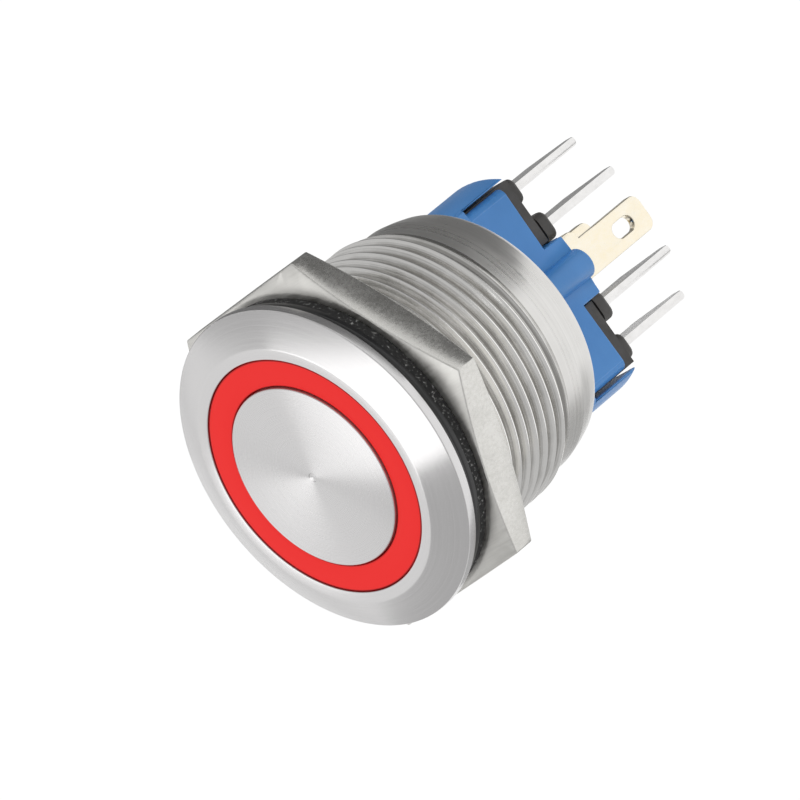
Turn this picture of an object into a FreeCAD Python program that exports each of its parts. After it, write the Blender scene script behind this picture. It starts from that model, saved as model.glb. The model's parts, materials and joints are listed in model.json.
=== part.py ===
import FreeCAD, Part
import Sketcher
import math
import os

# Illuminated metal push button with a ring lens, for a round panel hole.
# The push axis is Z and the face looks along +Z.  The origin is the centre of
# the bezel's underside, the plane that meets the panel's front.

document = FreeCAD.newDocument("push_button")
sheet = document.addObject("Spreadsheet::Sheet", "dims")

SIZES = (
    # bezel and barrel
    ("bezel_overhang", 1.53),
    ("face_height", 1.8),
    ("rim_height", 0.75),
    ("bezel_slope_width", 2.5),
    ("land_width", 0.8),
    ("ledge_depth", 1.2),
    ("ledge_thickness", 0.9),
    ("ledge_width", 0.7),
    ("barrel_wall", 1.32),
    ("barrel_length", 17.4),
    ("band_step", 0.02),
    ("tail_wall", 0.7),
    ("band_length", 5.0),
    # thread of barrel and nut
    ("thread_radius", 10.97),
    ("thread_depth_share", 0.55),
    ("thread_pitch", 1.0),
    ("relief_length", 0.9),
    ("thread_root_share", 0.12),
    ("thread_axial_play", 0.06),
    ("thread_radial_play", 0.08),
    # gasket, washer and nut
    ("gasket_thickness", 0.95),
    ("gasket_overhang", 1.2),
    ("washer_thickness", 0.85),
    ("washer_overhang", 1.05),
    ("ring_play", 0.1),
    ("nut_wall", 1.53),
    ("nut_height", 2.8),
    ("nut_chamfer_drop", 0.54),
    ("nut_angle", 34.1),
    # lens and cap
    ("lens_play", 0.08),
    ("lens_recess", 0.08),
    ("ring_width", 2.2),
    ("cap_play", 0.12),
    ("cap_proud", 0.1),
    ("cap_thickness", 2.3),
    ("cap_edge", 0.12),
    ("dimple_radius", 0.35),
    ("dimple_depth", 0.06),
    ("skirt_depth", 1.8),
    ("travel", 2.0),
    ("stem_radius", 2.4),
    ("stem_fit", 0.05),
    # sleeve, seal and clip
    ("sleeve_wall", 1.15),
    ("sleeve_head_wall", 2.35),
    ("sleeve_head_height", 1.6),
    ("sleeve_length", 6.6),
    ("seal_section", 0.5),
    ("seal_squeeze_gap", 0.03),
    ("seal_pocket_depth", 1.1),
    ("flange_thickness", 0.8),
    ("flange_drop", 2.6),
    ("clip_thickness", 0.55),
    ("clip_groove_depth", 0.5),
    ("clip_reach", 1.0),
    ("clip_gap", 0.05),
    # lamp
    ("board_thickness", 0.8),
    ("board_play", 0.1),
    ("chip_length", 1.6),
    ("chip_width", 1.2),
    ("chip_height", 0.65),
    ("chip_count", 6),
    ("resistor_length", 2.0),
    ("resistor_width", 1.2),
    ("resistor_height", 0.5),
    ("lead_radius", 0.25),
    ("lead_inset", 0.6),
    ("lead_hole_play", 0.15),
    # plunger and contacts
    ("hub_wall", 0.55),
    ("hub_height", 2.6),
    ("socket_depth", 1.3),
    ("socket_play", 0.02),
    ("crossbar_overhang", 0.855),
    ("crossbar_clearance", 0.3),
    ("crossbar_half_width", 1.3),
    ("crossbar_height", 1.4),
    ("post_half_length", 0.35),
    ("post_half_width", 0.6),
    ("head_height", 0.35),
    ("head_lip", 0.15),
    ("bridge_thickness", 0.5),
    ("bridge_half_width", 0.75),
    ("bridge_play", 0.06),
    ("contact_play", 0.01),
    ("spigot_radius", 1.25),
    ("spigot_height", 1.0),
    ("spring_mean_radius", 1.72),
    ("spring_wire", 0.4),
    ("spring_coils", 5.5),
    # base housing
    ("base_play", 0.1),
    ("base_wall", 0.9),
    ("cavity_margin", 0.9),
    ("flat_distance", 4.0),
    ("flat_cover", 0.8),
    ("web_play", 0.2),
    ("web_reach", 7.95),
    ("slot_width", 0.35),
    ("block_reach", 6.0),
    ("block_corner", 0.65),
    ("tab_wall", 0.95),
    ("tab_half_width", 3.7),
    ("tab_reach", 6.9),
    ("tab_round", 0.5),
    ("slot_cover", 2.0),
    ("wall_thickness", 0.85),
    ("rib_radius", 1.17),
    ("spring_pocket_play", 0.18),
    ("spring_seat_depth", 3.9),
    # contact blocks and terminals
    ("block_play", 0.05),
    ("insert_slot_play", 0.25),
    ("insert_top_step", 1.4),
    ("insert_reach", 7.5),
    ("neck_height", 0.6),
    ("outer_collar_height", 0.9),
    ("inner_collar_height", 1.1),
    ("outer_collar_width", 2.0),
    ("inner_collar_width", 2.2),
    ("outer_collar_reach", 2.1),
    ("inner_collar_reach", 2.6),
    ("outer_terminal_inset", 1.14),
    ("inner_terminal_inset", 0.83),
    ("hub_play", 0.17),
    ("blade_thickness", 0.62),
    ("blade_width", 2.8),
    ("outer_blade_near", 1.1),
    ("inner_blade_near", 2.0),
    ("outer_blade_length", 7.8),
    ("inner_blade_length", 8.2),
    ("tip_taper", 3.2),
    ("tip_corner", 0.3),
    ("tip_flat", 0.6),
    ("pad_reach", 1.0),
    ("pad_step", 1.8),
    ("rivet_radius", 0.55),
    ("rivet_height", 0.3),
    ("lamp_blade_offset", 3.0),
    ("lamp_top_margin", 0.4),
    ("lamp_blade_length", 8.35),
    ("lamp_corner", 0.75),
    ("eye_inset", 2.65),
    ("eye_radius", 0.6),
    ("eye_half_length", 0.5),
    ("shoulder_width", 0.85),
    ("shoulder_length", 1.75),
)

for row, (alias, size) in enumerate(SIZES, start=1):
    sheet.set(f"A{row}", alias)
    sheet.set(f"B{row}", str(size))
    sheet.setAlias(f"B{row}", alias)
document.recompute()


def size_of(alias):
    """The number that the sheet holds under this alias."""
    return float(getattr(sheet, alias))


def d(text):
    """An expression with every word that names a size bound to the sheet."""
    words = text.split(" ")
    return " ".join("dims." + w if w in ALIASES else w for w in words)


ALIASES = {alias for alias, size in SIZES}


# ---------------------------------------------------------------- sketch helpers

def plane_of(body, role):
    """One of the body's own origin planes."""
    for feature in body.Origin.OriginFeatures:
        if feature.Role == role:
            return feature
    raise ValueError(role)


def new_body(label):
    body = document.addObject("PartDesign::Body", label)
    body.Label = label
    return body


def new_sketch(body, name, role, lift=None):
    """A sketch on an origin plane, lifted along the plane's normal."""
    sketch = body.newObject("Sketcher::SketchObject", name)
    sketch.AttachmentSupport = (plane_of(body, role), [""])
    sketch.MapMode = "FlatFace"
    if lift is not None:
        sketch.setExpression("AttachmentOffset.Base.z", d(lift))
    return sketch


def worth(text):
    """What an expression is worth now, to start a sketch at its solution."""
    return float(sheet.evalExpression(d(text)))


def outline(sketch, corners):
    """A closed outline with each corner's two coordinates bound to the sheet."""
    points = [FreeCAD.Vector(worth(a), worth(b), 0) for a, b in corners]
    count = len(points)
    for i in range(count):
        sketch.addGeometry(Part.LineSegment(points[i], points[(i + 1) % count]), False)
    for i in range(count):
        sketch.addConstraint(Sketcher.Constraint("Coincident", i, 2, (i + 1) % count, 1))
    for i, (a, b) in enumerate(corners):
        across = sketch.addConstraint(Sketcher.Constraint("DistanceX", -1, 1, i, 1, points[i].x))
        sketch.setExpression(f"Constraints[{across}]", d(a))
        along = sketch.addConstraint(Sketcher.Constraint("DistanceY", -1, 1, i, 1, points[i].y))
        sketch.setExpression(f"Constraints[{along}]", d(b))


def circle(sketch, a, b, radius):
    """A circle whose centre and radius are bound to the sheet."""
    centre = FreeCAD.Vector(worth(a), worth(b), 0)
    index = sketch.addGeometry(
        Part.Circle(centre, FreeCAD.Vector(0, 0, 1), worth(radius)), False)
    across = sketch.addConstraint(Sketcher.Constraint("DistanceX", -1, 1, index, 3, centre.x))
    sketch.setExpression(f"Constraints[{across}]", d(a))
    along = sketch.addConstraint(Sketcher.Constraint("DistanceY", -1, 1, index, 3, centre.y))
    sketch.setExpression(f"Constraints[{along}]", d(b))
    wide = sketch.addConstraint(
        Sketcher.Constraint("Radius", index, worth(radius)))
    sketch.setExpression(f"Constraints[{wide}]", d(radius))


# ---------------------------------------------------------------- feature helpers

def turn(body, name, corners):
    """Material turned about Z from an outline of (radius, height) corners."""
    sketch = new_sketch(body, name + "_profile", "XZ_Plane")
    outline(sketch, corners)
    feature = body.newObject("PartDesign::Revolution", name)
    feature.Profile = sketch
    feature.ReferenceAxis = (sketch, ["V_Axis"])
    feature.Angle = 360
    document.recompute()
    return feature


def turned(label, corners):
    """A body that is one turned outline."""
    body = new_body(label)
    turn(body, label + "_turned", corners)
    return body


def raised(body, name, sketch, kind, length):
    """A pad or a pocket that runs from its sketch towards -Z of the sketch."""
    feature = body.newObject(kind, name)
    feature.Profile = sketch
    feature.setExpression("Length", d(length))
    if kind == "PartDesign::Pad":
        feature.Reversed = True
    document.recompute()
    return feature


def block(body, name, x, y, z, cut=False):
    """A box between two limits each way, added or cut; z is (top, bottom)."""
    sketch = new_sketch(body, name + "_outline", "XY_Plane", z[0])
    outline(sketch, [(x[0], y[0]), (x[1], y[0]), (x[1], y[1]), (x[0], y[1])])
    kind = "PartDesign::Pocket" if cut else "PartDesign::Pad"
    return raised(body, name, sketch, kind, f"( {z[0]} ) - ( {z[1]} )")


def round_bar(body, name, x, y, radius, z, cut=False):
    """An upright cylinder, added or cut; z is (top, bottom)."""
    sketch = new_sketch(body, name + "_outline", "XY_Plane", z[0])
    circle(sketch, x, y, radius)
    kind = "PartDesign::Pocket" if cut else "PartDesign::Pad"
    return raised(body, name, sketch, kind, f"( {z[0]} ) - ( {z[1]} )")


def plate(body, name, role, corners, middle, thickness):
    """A flat plate padded evenly about a plane that stands at a distance."""
    sketch = new_sketch(body, name + "_outline", role, middle)
    outline(sketch, corners)
    feature = body.newObject("PartDesign::Pad", name)
    feature.Profile = sketch
    feature.Midplane = True
    feature.setExpression("Length", d(thickness))
    document.recompute()
    return feature


def rounded(body, name, radius, wanted):
    """Fillets the edges of the body's tip that the test picks out."""
    base = body.Tip
    names = [f"Edge{i}" for i, edge in enumerate(base.Shape.Edges, start=1) if wanted(edge)]
    feature = body.newObject("PartDesign::Fillet", name)
    feature.Base = (base, names)
    feature.setExpression("Radius", d(radius))
    document.recompute()
    return feature


def helix_cut(body, name, corners, turns):
    """A groove of the thread's pitch that climbs about Z from its outline."""
    sketch = new_sketch(body, name + "_profile", "XZ_Plane")
    outline(sketch, corners)
    feature = body.newObject("PartDesign::SubtractiveHelix", name)
    feature.Profile = sketch
    feature.ReferenceAxis = (sketch, ["V_Axis"])
    feature.Mode = "pitch-turns-angle"
    feature.setExpression("Pitch", d("thread_pitch"))
    feature.setExpression("Turns", d(turns))
    feature.Angle = 0
    feature.LeftHanded = False
    feature.Reversed = False
    document.recompute()
    return feature


# ---------------------------------------------------------------- shared places

THREAD_DEPTH = "( thread_depth_share * thread_pitch )"
ROOT_HALF = "( thread_root_share * thread_pitch )"
THREAD_ROOT = f"( thread_radius - {THREAD_DEPTH} )"
BORE = f"( {THREAD_ROOT} - barrel_wall )"
BEZEL = "( thread_radius + bezel_overhang )"
LAND = f"( {BEZEL} - bezel_slope_width )"
POCKET = f"( {LAND} - land_width )"
LEDGE = f"( {POCKET} - ledge_width )"
CAP = f"( {POCKET} - ring_width )"
FLATS = "( 2 * ( thread_radius + nut_wall ) )"
BAND = f"( {THREAD_ROOT} - band_step )"
TAIL = f"( {BORE} + tail_wall )"
BAND_TOP = "( band_length - barrel_length )"
WASHER_TOP = "( 0 - gasket_thickness )"
NUT_TOP = "( 0 - gasket_thickness - washer_thickness )"
NUT_END = "( 0 - gasket_thickness - washer_thickness - nut_height )"
CAP_TOP = "( face_height + cap_proud )"
CAP_BOTTOM = "( face_height + cap_proud - cap_thickness )"
SLEEVE_TOP = "( face_height + cap_proud - cap_thickness - travel )"
SLEEVE_END = f"( {SLEEVE_TOP} - sleeve_length )"
FLANGE_TOP = "( 0 - ledge_depth - skirt_depth - flange_drop )"
FLANGE_END = f"( {FLANGE_TOP} - flange_thickness )"
CLIP_TOP = f"( {SLEEVE_END} - clip_gap )"
CLIP_END = f"( {CLIP_TOP} - clip_thickness )"
HUB_TOP = f"( {CLIP_END} - 0.1 )"
HUB_END = f"( {HUB_TOP} - hub_height )"
BAR_END = f"( {HUB_TOP} - crossbar_height )"
STEM_END = f"( {HUB_TOP} - socket_depth )"
LENS_BORE = f"( {CAP} + cap_play )"
SLEEVE_BORE = "( stem_radius + stem_fit )"
HEAD_RADIUS = "( stem_radius + stem_fit + sleeve_head_wall )"
SEAL_POCKET = "( stem_radius + 2 * seal_section + 2 * seal_squeeze_gap )"
LEAD = f"( {HEAD_RADIUS} + lead_inset )"
HUB = "( stem_radius + hub_wall )"
BASE = f"( {BORE} - base_play )"
TAB_INNER = f"( {BASE} - tab_wall )"
BLOCK_SIDE = f"( {TAB_INNER} - slot_width )"
INSERT_OUTER = f"( {TAB_INNER} - insert_slot_play )"
OUTER = f"( {INSERT_OUTER} - outer_terminal_inset )"
INNER = f"( {HUB} + hub_play + blade_thickness / 2 )"
INSERT_INNER = f"( {INNER} - inner_terminal_inset )"
WEB = f"( {INSERT_INNER} - web_play )"
POST = f"( ( {INNER} + {OUTER} ) / 2 )"
NC_PAD = f"( {BAR_END} - travel - crossbar_clearance )"
NO_PAD = f"( {NC_PAD} - pad_step )"
LAMP_TOP = f"( {HUB_END} - travel - lamp_top_margin )"
FLOOR = f"( {LAMP_TOP} - cavity_margin )"
INSERT_TOP = f"( {FLOOR} - insert_top_step )"
SPRING_SEAT = f"( {FLOOR} - spring_seat_depth )"
SPRING_POCKET = "( spring_mean_radius + spring_wire / 2 + spring_pocket_play )"
FLAT_START = "( flat_cover - barrel_length )"
SLOT_START = "( 0 - barrel_length - slot_cover )"
BLOCK_END = "( 0 - barrel_length - block_reach )"
TAB_END = "( 0 - barrel_length - tab_reach )"
WEB_END = "( 0 - barrel_length - web_reach )"
INSERT_END = "( 0 - barrel_length - insert_reach )"
COLLAR_TOP = f"( {INSERT_END} - neck_height )"
OUTER_COLLAR_END = f"( {COLLAR_TOP} - outer_collar_height )"
INNER_COLLAR_END = f"( {COLLAR_TOP} - inner_collar_height )"
OUTER_TIP = f"( {OUTER_COLLAR_END} - outer_blade_length )"
INNER_TIP = f"( {INNER_COLLAR_END} - inner_blade_length )"
LAMP_TIP = f"( {WEB_END} - lamp_blade_length )"
EYE = f"( {LAMP_TIP} + eye_inset )"
SHOULDER_END = f"( {WEB_END} - shoulder_length )"


# ---------------------------------------------------------------- metal body

bezel_barrel = new_body("bezel_barrel")
turn(bezel_barrel, "shell", [
    (POCKET, "face_height"),
    (LAND, "face_height"),
    (BEZEL, "rim_height"),
    (BEZEL, "0"),
    (f"{THREAD_ROOT} - 0.02", "0"),
    (f"{THREAD_ROOT} - 0.02", f"0 - relief_length + {THREAD_DEPTH}"),
    ("thread_radius", "0 - relief_length"),
    ("thread_radius", BAND_TOP),
    (f"{BAND} + 0.05", f"{BAND_TOP} - 0.22 * band_length"),
    (BAND, f"{BAND_TOP} - 0.42 * band_length"),
    (BAND, f"{BAND_TOP} - 0.58 * band_length"),
    (f"{BAND} - 0.2", f"{BAND_TOP} - 0.77 * band_length"),
    (f"{TAIL} + 0.16", "0.3 - barrel_length"),
    (f"{TAIL}", "0 - barrel_length"),
    (BORE, "0 - barrel_length"),
    (BORE, "0 - ledge_depth - ledge_thickness"),
    (LEDGE, "0 - ledge_depth - ledge_thickness"),
    (LEDGE, "0 - ledge_depth"),
    (POCKET, "0 - ledge_depth"),
])
GROOVE_MIDDLE = f"( {BAND_TOP} - 0.5 * band_length )"
GROOVE_HALF = f"( {ROOT_HALF} + ( {THREAD_DEPTH} + 0.05 ) * tan(30) )"
helix_cut(bezel_barrel, "barrel_thread", [
    (THREAD_ROOT, f"{GROOVE_MIDDLE} - {ROOT_HALF}"),
    ("thread_radius + 0.05", f"{GROOVE_MIDDLE} - {GROOVE_HALF}"),
    ("thread_radius + 0.05", f"{GROOVE_MIDDLE} + {GROOVE_HALF}"),
    (THREAD_ROOT, f"{GROOVE_MIDDLE} + {ROOT_HALF}"),
], "( barrel_length - 0.5 * band_length - 0.3 ) / thread_pitch")

rubber_gasket = turned("rubber_gasket", [
    ("thread_radius + ring_play", "0"),
    ("thread_radius + gasket_overhang - 0.2", "0"),
    ("thread_radius + gasket_overhang", "-0.2"),
    ("thread_radius + gasket_overhang", "0.2 - gasket_thickness"),
    ("thread_radius + gasket_overhang - 0.2", "0 - gasket_thickness"),
    ("thread_radius + ring_play", "0 - gasket_thickness"),
])

flat_washer = turned("flat_washer", [
    ("thread_radius + ring_play", WASHER_TOP),
    ("thread_radius + washer_overhang", WASHER_TOP),
    ("thread_radius + washer_overhang", NUT_TOP),
    ("thread_radius + ring_play", NUT_TOP),
])


def hexagon():
    """The nut's six corners, turned by the nut's angle."""
    corners = []
    for i in range(6):
        turn_by = f"nut_angle + {60 * i}"
        corners.append((
            f"{FLATS} / 2 / cos(30) * cos( {turn_by} )",
            f"{FLATS} / 2 / cos(30) * sin( {turn_by} )",
        ))
    return corners


def nut_groove():
    """The nut's thread groove, which leaves ridges that run in the barrel's."""
    lead = "( 0 - gasket_thickness - washer_thickness - nut_height )"
    steps = f"( floor( ( {lead} - {GROOVE_MIDDLE} ) / thread_pitch ) - 0.5 )"
    middle = f"( {GROOVE_MIDDLE} + {steps} * thread_pitch )"
    inner = f"{THREAD_ROOT} + thread_radial_play"
    mouth = (f"( thread_pitch / 2 - {ROOT_HALF} - ( thread_radial_play - 0.05 ) * tan(30)"
             " + thread_axial_play )")
    root = (f"( thread_pitch / 2 - {ROOT_HALF} - ( {THREAD_DEPTH} + thread_radial_play )"
            " * tan(30) + thread_axial_play )")
    return [
        (f"{inner} - 0.05", f"{middle} - {mouth}"),
        (f"{inner} - 0.05", f"{middle} + {mouth}"),
        ("thread_radius + thread_radial_play", f"{middle} + {root}"),
        ("thread_radius + thread_radial_play", f"{middle} - {root}"),
    ]


hex_nut = new_body("hex_nut")
nut_sketch = new_sketch(hex_nut, "nut_outline", "XY_Plane", NUT_TOP)
outline(nut_sketch, hexagon())
raised(hex_nut, "nut_blank", nut_sketch, "PartDesign::Pad", "nut_height")
round_bar(hex_nut, "nut_bore", "0", "0", f"{THREAD_ROOT} + thread_radial_play",
          (NUT_TOP, NUT_END), cut=True)


def chamfer_groove(name, face, inward):
    """Takes the nut's corners down by a shallow cone at one end face."""
    sketch = new_sketch(hex_nut, name + "_profile", "XZ_Plane")
    corner = f"( {FLATS} / 2 / cos(30) )"
    outline(sketch, [
        (f"{FLATS} / 2 - 0.15", face),
        (f"{corner} + 0.5", face),
        (f"{corner} + 0.5", f"{face} {inward} nut_chamfer_drop * 1.25"),
        (corner, f"{face} {inward} nut_chamfer_drop"),
    ])
    feature = hex_nut.newObject("PartDesign::Groove", name)
    feature.Profile = sketch
    feature.ReferenceAxis = (sketch, ["V_Axis"])
    feature.Angle = 360
    document.recompute()


chamfer_groove("front_corners", NUT_TOP, "-")
chamfer_groove("rear_corners", NUT_END, "+")
helix_cut(hex_nut, "nut_thread", nut_groove(), "( nut_height + 2.5 * thread_pitch ) / thread_pitch")

# ---------------------------------------------------------------- lens and cap

ring_lens = turned("ring_lens", [
    (LENS_BORE, "face_height - lens_recess"),
    (f"{POCKET} - lens_play", "face_height - lens_recess"),
    (f"{POCKET} - lens_play", "0 - ledge_depth"),
    (f"{LEDGE} - lens_play", "0 - ledge_depth"),
    (f"{LEDGE} - lens_play", "0 - ledge_depth - skirt_depth"),
    (LENS_BORE, "0 - ledge_depth - skirt_depth"),
])

GROOVE_FLOOR = "( stem_radius - clip_groove_depth )"
button_cap = turned("button_cap", [
    ("0", f"{CAP_TOP} - dimple_depth"),
    ("dimple_radius", CAP_TOP),
    (f"{CAP} - cap_edge", CAP_TOP),
    (CAP, f"{CAP_TOP} - cap_edge"),
    (CAP, CAP_BOTTOM),
    ("stem_radius", CAP_BOTTOM),
    ("stem_radius", CLIP_TOP),
    (GROOVE_FLOOR, CLIP_TOP),
    (GROOVE_FLOOR, CLIP_END),
    ("stem_radius", CLIP_END),
    ("stem_radius", STEM_END),
    ("0", STEM_END),
])

stem_clip = turned("stem_clip", [
    (GROOVE_FLOOR, CLIP_TOP),
    ("stem_radius + clip_reach", CLIP_TOP),
    ("stem_radius + clip_reach", CLIP_END),
    (GROOVE_FLOOR, CLIP_END),
])
block(stem_clip, "clip_mouth", ("-1.2", "1.2"), ("0", "stem_radius + clip_reach + 1"),
      (CLIP_TOP, CLIP_END), cut=True)

guide_sleeve = new_body("guide_sleeve")
turn(guide_sleeve, "sleeve", [
    (SEAL_POCKET, SLEEVE_TOP),
    (HEAD_RADIUS, SLEEVE_TOP),
    (HEAD_RADIUS, FLANGE_TOP),
    (BASE, FLANGE_TOP),
    (BASE, FLANGE_END),
    (f"{SLEEVE_BORE} + sleeve_wall", FLANGE_END),
    (f"{SLEEVE_BORE} + sleeve_wall", SLEEVE_END),
    (SLEEVE_BORE, SLEEVE_END),
    (SLEEVE_BORE, f"{SLEEVE_TOP} - seal_pocket_depth"),
    (SEAL_POCKET, f"{SLEEVE_TOP} - seal_pocket_depth"),
])
for side, sign in (("front", "-1"), ("rear", "1")):
    round_bar(guide_sleeve, f"{side}_lead_hole", "0", f"{sign} * {LEAD}",
              "lead_radius + lead_hole_play", (FLANGE_TOP, FLANGE_END), cut=True)

stem_seal = document.addObject("Part::Torus", "stem_seal")
stem_seal.Label = "stem_seal"
stem_seal.setExpression("Radius1", d("stem_radius + seal_section + seal_squeeze_gap"))
stem_seal.setExpression("Radius2", d("seal_section"))
stem_seal.setExpression("Placement.Base.z", d(f"{SLEEVE_TOP} - seal_pocket_depth / 2"))

# ---------------------------------------------------------------- ring lamp

BOARD_TOP = f"( {FLANGE_TOP} + board_thickness )"
led_board = turned("led_board", [
    (f"{HEAD_RADIUS} + board_play", BOARD_TOP),
    (f"{BASE} - board_play", BOARD_TOP),
    (f"{BASE} - board_play", FLANGE_TOP),
    (f"{HEAD_RADIUS} + board_play", FLANGE_TOP),
])
for side, sign in (("front", "-1"), ("rear", "1")):
    round_bar(led_board, f"{side}_solder_hole", "0", f"{sign} * {LEAD}",
              "lead_radius + 0.02", (BOARD_TOP, FLANGE_TOP), cut=True)

CHIP_RING = f"( ( {LENS_BORE} + {LEDGE} - lens_play ) / 2 )"
led_chips = new_body("led_chips")
block(led_chips, "chip", (f"{CHIP_RING} - chip_width / 2", f"{CHIP_RING} + chip_width / 2"),
      ("0 - chip_length / 2", "chip_length / 2"), (f"{BOARD_TOP} + chip_height", BOARD_TOP))
chips = []
for i in range(int(size_of("chip_count"))):
    turned_by = FreeCAD.Rotation(FreeCAD.Vector(0, 0, 1), 360.0 * i / size_of("chip_count"))
    chip = led_chips.Shape.copy()
    chip.Placement = FreeCAD.Placement(FreeCAD.Vector(0, 0, 0), turned_by)
    chips.append(chip)

resistor = new_body("led_resistor")
block(resistor, "chip_resistor",
      ("0 - resistor_length / 2", "resistor_length / 2"),
      (f"{LEAD} + 1.7 - resistor_width / 2", f"{LEAD} + 1.7 + resistor_width / 2"),
      (f"{BOARD_TOP} + resistor_height", BOARD_TOP))

# ---------------------------------------------------------------- plunger and bridges

plunger = turned("plunger", [
    (f"stem_radius + socket_play", HUB_TOP),
    (HUB, HUB_TOP),
    (HUB, HUB_END),
    ("spigot_radius", HUB_END),
    ("spigot_radius", f"{HUB_END} - spigot_height"),
    ("0", f"{HUB_END} - spigot_height"),
    ("0", STEM_END),
    ("stem_radius + socket_play", STEM_END),
])
NO_BRIDGE_END = f"( {NO_PAD} + rivet_height + travel + contact_play )"
NC_BRIDGE_TOP = f"( {NC_PAD} - blade_thickness - contact_play )"
NC_BRIDGE_END = f"( {NC_BRIDGE_TOP} - bridge_thickness )"
POST_HALF = "post_half_length"
for side, sign, post_end in (("nc", "1", NC_BRIDGE_END), ("no", "-1", NO_BRIDGE_END)):
    reach = (f"{sign} * ( stem_radius + 0.3 )", f"{sign} * ( {POST} + crossbar_overhang )")
    if sign == "-1":
        reach = (reach[1], reach[0])
    block(plunger, f"{side}_arm", reach, ("0 - crossbar_half_width", "crossbar_half_width"),
          (HUB_TOP, BAR_END))
    block(plunger, f"{side}_post",
          (f"{sign} * {POST} - {POST_HALF}", f"{sign} * {POST} + {POST_HALF}"),
          ("0 - post_half_width", "post_half_width"), (BAR_END, f"{post_end} - head_height"))
    block(plunger, f"{side}_head",
          (f"{sign} * {POST} - {POST_HALF} - head_lip", f"{sign} * {POST} + {POST_HALF} + head_lip"),
          ("0 - post_half_width - head_lip", "post_half_width + head_lip"),
          (post_end, f"{post_end} - head_height"))

INNER_FACE = f"( {INNER} + blade_thickness / 2 )"
OUTER_FACE = f"( {OUTER} - blade_thickness / 2 )"
nc_bridge = new_body("nc_bridge")
block(nc_bridge, "nc_bar", (f"{INNER_FACE} + bridge_play", f"{OUTER_FACE} - bridge_play"),
      ("0 - bridge_half_width", "bridge_half_width"), (NC_BRIDGE_TOP, NC_BRIDGE_END))
no_bridge = new_body("no_bridge")
block(no_bridge, "no_bar",
      (f"0 - {OUTER}", f"0 - {INNER}"),
      ("0 - bridge_half_width", "bridge_half_width"),
      (f"{NO_BRIDGE_END} + bridge_thickness", NO_BRIDGE_END))
for bar, name, sign, top, end in (
        (nc_bridge, "nc", "1", NC_BRIDGE_TOP, NC_BRIDGE_END),
        (no_bridge, "no", "-1", f"{NO_BRIDGE_END} + bridge_thickness", NO_BRIDGE_END)):
    block(bar, f"{name}_post_hole",
          (f"{sign} * {POST} - {POST_HALF}", f"{sign} * {POST} + {POST_HALF}"),
          ("0 - post_half_width", "post_half_width"), (top, end), cut=True)

# ---------------------------------------------------------------- base housing

DEEP = f"( {WEB_END} - 0.5 )"
FAR = f"( {BORE} + 2 )"
base_housing = new_body("base_housing")
turn(base_housing, "base_blank", [
    (f"{BASE} - base_wall", FLANGE_END),
    (BASE, FLANGE_END),
    (BASE, WEB_END),
    ("0", WEB_END),
    ("0", FLOOR),
    (f"{BASE} - base_wall", FLOOR),
])
flats = (
    ("front", (f"0 - {FAR}", "0 - flat_distance"), f"0 - {FAR}", "0 - tab_half_width"),
    ("rear", ("flat_distance", FAR), "tab_half_width", FAR),
)
for side, reach, near, far in flats:
    block(base_housing, f"{side}_flat", (f"0 - {FAR}", FAR), reach,
          (FLAT_START, DEEP), cut=True)
    block(base_housing, f"{side}_left_tab_edge", (f"0 - {FAR}", f"0 - {TAB_INNER}"), (near, far),
          (FLAT_START, DEEP), cut=True)
    block(base_housing, f"{side}_right_tab_edge", (TAB_INNER, FAR), (near, far),
          (FLAT_START, DEEP), cut=True)
sides = (
    ("right", (BLOCK_SIDE, TAB_INNER), (f"{TAB_INNER} - 0.2", FAR),
     (WEB, f"{BLOCK_SIDE} + 0.1"),
     (f"{INSERT_INNER} - block_play", f"{INSERT_OUTER} + block_play")),
    ("left", (f"0 - {TAB_INNER}", f"0 - {BLOCK_SIDE}"), (f"0 - {FAR}", f"0.2 - {TAB_INNER}"),
     (f"0 - {BLOCK_SIDE} - 0.1", f"0 - {WEB}"),
     (f"0 - {INSERT_OUTER} - block_play", f"block_play - {INSERT_INNER}")),
)
for side, slot, tab, wall, pocket in sides:
    block(base_housing, f"{side}_slot", slot, (f"0 - {FAR}", FAR),
          (SLOT_START, DEEP), cut=True)
    block(base_housing, f"{side}_tab_end", tab, (f"0 - {FAR}", FAR),
          (TAB_END, DEEP), cut=True)
    block(base_housing, f"{side}_wall_end", wall, (f"0 - {FAR}", FAR),
          (BLOCK_END, DEEP), cut=True)
    block(base_housing, f"{side}_block_pocket", pocket,
          ("wall_thickness - flat_distance", "flat_distance - wall_thickness"),
          (f"{FLOOR} + 0.1", DEEP), cut=True)
round_bar(base_housing, "spring_pocket", "0", "0", SPRING_POCKET,
          (f"{FLOOR} + 0.1", SPRING_SEAT), cut=True)
LAMP_HALF = "( blade_thickness / 2 + block_play )"
for side, sign in (("front", "-1"), ("rear", "1")):
    block(base_housing, f"{side}_lamp_slot",
          ("0 - blade_width / 2 - block_play", "blade_width / 2 + block_play"),
          (f"{sign} * lamp_blade_offset - {LAMP_HALF}", f"{sign} * lamp_blade_offset + {LAMP_HALF}"),
          (f"{FLOOR} + 0.1", DEEP), cut=True)
block(base_housing, "shoulder_slot",
      ("blade_width / 2", "blade_width / 2 + shoulder_width + block_play"),
      (f"0 - lamp_blade_offset - {LAMP_HALF}", f"{LAMP_HALF} - lamp_blade_offset"),
      (f"{WEB_END} + 1.5", DEEP), cut=True)
block(base_housing, "shoulder_slot_rear",
      ("0 - blade_width / 2 - shoulder_width - block_play", "0 - blade_width / 2"),
      (f"lamp_blade_offset - {LAMP_HALF}", f"lamp_blade_offset + {LAMP_HALF}"),
      (f"{WEB_END} + 1.5", DEEP), cut=True)


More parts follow.
